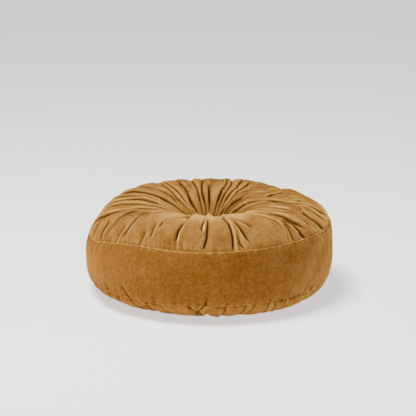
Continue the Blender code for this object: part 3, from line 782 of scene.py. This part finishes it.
def pucker_relief(height, radius, angle):
    """Relief and shade of the short puckers of the band."""
    relief, shade = np.zeros((2, *radius.shape))
    for pucker in PUCKERS:
        heights = (pucker.lower_height, pucker.upper_height)
        centre = np.interp(height, heights, (pucker.lower_angle, pucker.upper_angle))
        middle = (pucker.upper_height + pucker.lower_height) / 2.0
        reach = (pucker.upper_height - pucker.lower_height) / 2.0
        distance = np.radians(turn_between(angle, centre)) * radius
        depth = pucker.depth * bell(height - middle, reach)
        relief -= depth * crease_shape(distance, pucker.width)
        core = bell(distance, PUCKER_SHADE_WIDTH * pucker.width)
        shade = np.maximum(shade, depth / PUCKER_SHADE_DEPTH * core)
    return relief, shade


def band_relief(random, marks, height, radius, angle, travelled):
    """Relief and shade of the side band."""
    waves = uneven_waves(random, BAND_LUMPS, angle, travelled)
    waves += uneven_waves(random, BAND_RIPPLES, angle, travelled)
    down_band = np.clip((marks - TOP_SEAM) / (LOWER_SEAM - TOP_SEAM), 0.0, 1.0)[:, None]
    relief, shade = pucker_relief(height, radius, angle)
    relief += waves * np.sin(math.pi * down_band)
    for sector in BAND_SHADES:
        shade = np.maximum(shade, sector_amount(sector, angle))
    return relief, shade


def seam_relief(random, marks, angle, travelled):
    """Relief and light of both seams and of the puckers beside them."""
    puckers = uneven_waves(random, SEAM_PUCKERS, angle, travelled)
    change = np.clip(puckers / SEAM_LIGHT_PUCKER, -1.0, 1.0)
    patchy = SEAM_LIGHT * (1.0 - SEAM_LIGHT_CHANGE + SEAM_LIGHT_CHANGE * change)
    relief, light = np.zeros((2, *travelled.shape))
    for seam, strength in ((TOP_SEAM, 1.0), (LOWER_SEAM, LOWER_SEAM_STRENGTH)):
        offset = travelled - travelled[int(np.argmin(np.abs(marks - seam)))]
        relief -= strength * SEAM_DEPTH * bell(offset, SEAM_WIDTH)
        relief += SEAM_WELT * bell(offset, SEAM_WELT_WIDTH)
        beside = smooth_step(np.abs(offset) / SEAM_PUCKER_START)
        relief += puckers * beside * bell(offset, SEAM_PUCKER_REACH)
        light = np.maximum(light, strength * patchy * bell(offset, SEAM_LIGHT_WIDTH))
    return relief, light


def blotch_shade(random, angle, travelled, on_top, on_band):
    """Shade of the soft blotches of the top panel and of the band's end with painted sheen."""
    blotches = uneven_waves(random, BLOTCHES, angle, travelled)
    sheen_end_blotch = BAND_BLOTCH * bell(turn_between(angle, PAINTED_SHEEN_END.angle), PAINTED_SHEEN_END.spread)
    amount = np.where(on_band, sheen_end_blotch, np.where(on_top, TOP_BLOTCH, 0.0))
    return np.clip(blotches, 0.0, MOST_BLOTCH) * amount


def tuck_list():
    """The tucks that the photograph shows, and those that go on round the back."""
    tucks = list(TUCKS)
    angle = TUCKS[-1].angle - 360.0 + BACK_TUCK_SPACING
    number = 0
    while angle < BACK_TUCK_LAST_ANGLE:
        shift, slant, change = (math.sin(step * number) for step in BACK_TUCK_STEPS)
        depth = BACK_TUCK_DEPTH + BACK_TUCK_DEPTH_CHANGE * change
        tucks.append(Tuck(angle, BACK_TUCK_SLANT * slant, depth, BACK_TUCK_WIDTH))
        angle += BACK_TUCK_SPACING + BACK_TUCK_SHIFT * shift
        number += 1
    return tucks


def underside_relief(marks, radius, angle):
    """Relief, shade and light of the underside's rim, from the lower seam to the flat rest."""
    share = (marks - LOWER_SEAM)[:, None] / (REST - LOWER_SEAM)
    starts = smooth_step(share / TUCK_FADE)
    fading = np.sqrt(np.clip(1.0 - share, 0.0, 1.0)) * starts
    relief, light = np.zeros((2, *radius.shape))
    shade = UNDER_SHADE * smooth_step(share / UNDER_SHADE_END)
    for swell in UNDER_SWELLS:
        relief += fading * sector_amount(swell, angle)
    for tuck in tuck_list():
        strength = np.sqrt(np.clip(1.0 - share / tuck.end, 0.0, 1.0)) * tuck.depth
        strength *= smooth_step((share - tuck.start) / TUCK_FADE)
        centre = tuck.angle + tuck.slant * share * TUCK_SLANT_GAIN
        distance = np.radians(turn_between(angle, centre)) * radius
        relief -= TUCK_DEPTH_GAIN * strength * crease_shape(distance, tuck.width)
        core = bell(distance, TUCK_SHADE_WIDTH * tuck.width)
        shade = np.maximum(shade, strength / TUCK_SHADE_DEPTH * core)
        edge = bell(distance - TUCK_LIGHT_OFFSET * tuck.width, TUCK_LIGHT_WIDTH * tuck.width)
        light = np.maximum(light, strength / TUCK_LIGHT_DEPTH * edge)
    return relief, shade, light


def cover_points():
    """The cover's points in metres, with shade, light and share of dust and painted sheen."""
    marks, columns, angle, radius, height = cover_grid()
    out_radius, out_height, travelled = profile_normals(radius, height)
    on_top = (marks < TOP_SEAM)[:, None]
    on_band = ((marks > TOP_SEAM) & (marks < LOWER_SEAM))[:, None]
    off_seam = smooth_step(np.abs(marks - TOP_SEAM)[:, None] / SEAM_FADE)

    random = np.random.default_rng(SEED)
    top, pull, top_shade, top_light = top_relief(random, radius, angle, columns, travelled)
    band, band_shade = band_relief(random, marks, height, radius, angle, travelled)
    seams, seam_light = seam_relief(random, marks, angle, travelled)
    blotches = blotch_shade(random, angle, travelled, on_top, on_band)
    under, under_shade, under_light = underside_relief(marks, radius, angle)

    relief = np.where(on_top, top * off_seam, np.where(on_band, band, 0.0)) + seams + under
    panel_shade = np.where(on_top, top_shade, np.where(on_band, band_shade, 0.0))
    panel_light = np.where(on_top, top_light, 0.0)
    standing = cavity(relief, radius)
    hollow_shade = np.clip(-standing / CAVITY_SHADE_DEPTH, 0.0, CAVITY_SHADE_MOST)
    raised_light = CAVITY_LIGHT * np.clip(standing / CAVITY_LIGHT_HEIGHT, 0.0, 1.0)
    shade = np.maximum.reduce([panel_shade, blotches, under_shade, hollow_shade])
    light = np.maximum.reduce([panel_light, seam_light, under_light, raised_light])

    relief[marks > REST] = 0.0
    pulled = np.where(on_top, pull, 0.0) / np.maximum(radius, INNERMOST_RADIUS)
    turn = np.radians(angle) + pulled
    out = radius + relief * out_radius
    level = np.maximum(height + relief * out_height, 0.0)
    points = np.stack([out * np.cos(turn), out * np.sin(turn), level], axis=-1) * MM
    # The dust colour covers the top panel and the band's end; it is partly dust, partly painted
    # sheen.
    dust_and_sheen_share = np.where(on_top, off_seam, sector_amount(PAINTED_SHEEN_END, angle))
    return points, shade, light, dust_and_sheen_share


def build_cover():
    """The cover as one closed mesh: the first and the last row each shrink to a single point."""
    points, shade, light, dust_and_sheen_share = cover_points()
    rows = points.shape[0] - 2
    columns = points.shape[1]
    ends = [points[0].mean(axis=0), points[-1].mean(axis=0)]
    corners = np.vstack([points[1:-1].reshape(-1, 3), ends])
    top_point = rows * columns
    under_point = top_point + 1
    last = top_point - columns
    faces = []
    for first in range(0, last, columns):
        below = first + columns
        for column in range(columns):
            after = (column + 1) % columns
            faces.append((first + column, below + column, below + after, first + after))
    for column in range(columns):
        after = (column + 1) % columns
        faces.append((top_point, column, after))
        faces.append((under_point, last + after, last + column))
    mesh = bpy.data.meshes.new("cushion_cover")
    mesh.from_pydata([tuple(corner) for corner in corners], [], faces)
    mesh.validate()
    for name, values in (("crease_shade", shade), ("ridge_light", light), ("dust_and_painted_sheen", dust_and_sheen_share)):
        flat = np.concatenate([values[1:-1].ravel(), [values[0].mean(), values[-1].mean()]])
        layer = mesh.attributes.new(name, "FLOAT", "POINT")
        layer.data.foreach_set("value", flat.astype(np.float32))
    mesh.shade_smooth()
    cover = bpy.data.objects.new("cushion_cover", mesh)
    bpy.context.scene.collection.objects.link(cover)
    return cover


def noise_node(tree, coordinates, scale, detail, roughness):
    noise = tree.nodes.new("ShaderNodeTexNoise")
    noise.inputs["Scale"].default_value = scale
    noise.inputs["Detail"].default_value = detail
    noise.inputs["Roughness"].default_value = roughness
    tree.links.new(coordinates, noise.inputs["Vector"])
    return noise.outputs["Fac"]


def attribute_node(tree, name):
    attribute = tree.nodes.new("ShaderNodeAttribute")
    attribute.attribute_name = name
    return attribute.outputs["Fac"]


def colour_ramp(tree, factor, stops):
    ramp = tree.nodes.new("ShaderNodeValToRGB")
    elements = ramp.color_ramp.elements
    while len(elements) < len(stops):
        elements.new(0.5)
    for element, (position, colour) in zip(elements, stops):
        element.position = position
        element.color = (*colour, 1.0)
    tree.links.new(factor, ramp.inputs["Fac"])
    return ramp.outputs["Color"]


def mix_colour(tree, blend, factor, first, second):
    """Mixes two colours. Its factor and colours are each a value or the socket of a node."""
    mix = tree.nodes.new("ShaderNodeMix")
    mix.data_type = "RGBA"
    mix.blend_type = blend
    for socket, value in ((mix.inputs[0], factor), (mix.inputs[6], first), (mix.inputs[7], second)):
        if isinstance(value, float):
            socket.default_value = value
        elif isinstance(value, tuple):
            socket.default_value = (*value, 1.0)
        else:
            tree.links.new(value, socket)
    return mix.outputs[2]


def scaled(tree, value, factor, offset=0.0):
    maths = tree.nodes.new("ShaderNodeMath")
    maths.operation = "MULTIPLY_ADD"
    maths.inputs[1].default_value = factor
    maths.inputs[2].default_value = offset
    tree.links.new(value, maths.inputs[0])
    return maths.outputs[0]


def combined(tree, operation, first, second):
    maths = tree.nodes.new("ShaderNodeMath")
    maths.operation = operation
    tree.links.new(first, maths.inputs[0])
    tree.links.new(second, maths.inputs[1])
    return maths.outputs[0]


def clamped(tree, value):
    maths = tree.nodes.new("ShaderNodeClamp")
    tree.links.new(value, maths.inputs["Value"])
    return maths.outputs[0]


def bump_node(tree, height, strength, distance):
    bump = tree.nodes.new("ShaderNodeBump")
    bump.inputs["Strength"].default_value = strength
    bump.inputs["Distance"].default_value = distance
    tree.links.new(height, bump.inputs["Height"])
    return bump


def velvet_material():
    """Short mottled velvet pile: dust and painted sheen, painted shade and highlights, and sheen.
    """
    material = bpy.data.materials.new("mustard_velvet")
    material.use_nodes = True
    tree = material.node_tree
    shader = tree.nodes["Principled BSDF"]
    coordinates = tree.nodes.new("ShaderNodeTexCoord").outputs["Object"]
    patches = noise_node(tree, coordinates, scale=24.0, detail=3.0, roughness=0.6)
    dust_and_sheen_noise = noise_node(tree, coordinates, scale=30.0, detail=4.0, roughness=0.65)
    crush = noise_node(tree, coordinates, scale=150.0, detail=3.0, roughness=0.6)
    grain = noise_node(tree, coordinates, scale=420.0, detail=2.0, roughness=0.6)
    pile = noise_node(tree, coordinates, scale=1500.0, detail=2.0, roughness=0.7)
    dust_and_sheen_share = attribute_node(tree, "dust_and_painted_sheen")
    shade = attribute_node(tree, "crease_shade")
    light = attribute_node(tree, "ridge_light")
    lit = clamped(tree, light)

    mottling = combined(tree, "ADD", scaled(tree, patches, 0.32), scaled(tree, crush, 0.28))
    mottling = combined(tree, "ADD", mottling, scaled(tree, grain, 0.40))
    # Dust on the top panel and the band's end, partly painted sheen.
    dust_and_sheen = clamped(tree, scaled(tree, dust_and_sheen_noise, DUST_AND_SHEEN_CONTRAST, DUST_AND_SHEEN_LEVEL))
    dust_and_sheen = combined(tree, "MULTIPLY", dust_and_sheen, dust_and_sheen_share)
    nap = combined(tree, "ADD", scaled(tree, grain, 0.5), scaled(tree, crush, 0.5))
    colour = colour_ramp(tree, mottling, PILE_COLOURS)
    colour = mix_colour(tree, "MIX", scaled(tree, dust_and_sheen, DUST_AND_SHEEN_MIX), colour, DUST_AND_SHEEN_COLOUR)
    # Painted highlights where the light value is, then painted shade in the folds, over the pile.
    colour = mix_colour(tree, "MIX", scaled(tree, light, PAINTED_HIGHLIGHT_MIX), colour, PAINTED_HIGHLIGHT_COLOUR)
    colour = mix_colour(tree, "MIX", scaled(tree, shade, SHADE_MIX), colour, SHADE_COLOUR)
    colour = mix_colour(tree, "MULTIPLY", 1.0, colour, colour_ramp(tree, nap, NAP_COLOURS))
    tree.links.new(colour, shader.inputs["Base Color"])
    shader.inputs["Roughness"].default_value = 0.9
    shader.inputs["Specular IOR Level"].default_value = 0.03

    sheen = scaled(tree, shade, -SHEEN_LOSS_IN_SHADE, SHEEN)
    sheen = combined(tree, "ADD", sheen, scaled(tree, lit, SHEEN_GAIN_IN_LIGHT))
    sheen_colour = mix_colour(tree, "MIX", lit, SHEEN_COLOUR, LIT_SHEEN_COLOUR)
    tree.links.new(clamped(tree, sheen), shader.inputs["Sheen Weight"])
    tree.links.new(sheen_colour, shader.inputs["Sheen Tint"])
    shader.inputs["Sheen Roughness"].default_value = 0.42

    coarse = bump_node(tree, crush, strength=0.5, distance=0.0012)
    fine = bump_node(tree, pile, strength=0.45, distance=0.0004)
    tree.links.new(coarse.outputs["Normal"], fine.inputs["Normal"])
    tree.links.new(fine.outputs["Normal"], shader.inputs["Normal"])
    return material


def floor_material():
    """A pale floor that glows a little, so that it renders almost white."""
    material = bpy.data.materials.new("pale_floor")
    material.use_nodes = True
    shader = material.node_tree.nodes["Principled BSDF"]
    shader.inputs["Base Color"].default_value = (0.92, 0.92, 0.92, 1.0)
    shader.inputs["Emission Color"].default_value = (1.0, 1.0, 1.0, 1.0)
    shader.inputs["Emission Strength"].default_value = 1.0
    shader.inputs["Roughness"].default_value = 0.8
    shader.inputs["Specular IOR Level"].default_value = 0.1
    return material


def build_floor():
    mesh = bpy.data.meshes.new("floor")
    grid = bmesh.new()
    bmesh.ops.create_grid(grid, x_segments=1, y_segments=1, size=FLOOR_HALF_SIZE)
    grid.to_mesh(mesh)
    grid.free()
    mesh.materials.append(floor_material())
    floor = bpy.data.objects.new("floor", mesh)
    floor.location.z = -FLOOR_GAP
    bpy.context.scene.collection.objects.link(floor)


def build_camera():
    elevation = math.radians(CAMERA_ELEVATION)
    aim = Vector(CAMERA_AIM)
    back = Vector((0.0, -math.cos(elevation), math.sin(elevation)))
    data = bpy.data.cameras.new("camera")
    data.lens = CAMERA_LENS_MM
    data.sensor_width = CAMERA_SENSOR_MM
    middle = PICTURE_PIXELS / 2.0
    data.shift_x = (middle - AIM_PIXEL_X) / PICTURE_PIXELS
    data.shift_y = (AIM_PIXEL_Y - middle) / PICTURE_PIXELS
    camera = bpy.data.objects.new("camera", data)
    camera.location = aim + back * CAMERA_DISTANCE
    camera.rotation_euler = (-back).to_track_quat("-Z", "Y").to_euler()
    bpy.context.scene.collection.objects.link(camera)
    bpy.context.scene.camera = camera


def build_lights():
    world = bpy.data.worlds.new("studio")
    world.use_nodes = True
    background = world.node_tree.nodes["Background"]
    background.inputs["Color"].default_value = (1.0, 1.0, 1.0, 1.0)
    background.inputs["Strength"].default_value = WORLD_STRENGTH
    bpy.context.scene.world = world
    for light in LIGHTS:
        data = bpy.data.lights.new(light.name, "AREA")
        data.shape = "DISK"
        data.size = light.size
        data.energy = light.power
        data.color = light.colour
        lamp = bpy.data.objects.new(light.name, data)
        lamp.location = light.place
        toward = Vector(LIGHT_AIM) - Vector(light.place)
        lamp.rotation_euler = toward.to_track_quat("-Z", "Y").to_euler()
        bpy.context.scene.collection.objects.link(lamp)


build_camera()
build_lights()
build_floor()
velvet = velvet_material()
cover = build_cover()
cover.data.materials.append(velvet)
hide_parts("cushion")
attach(cover, "root")
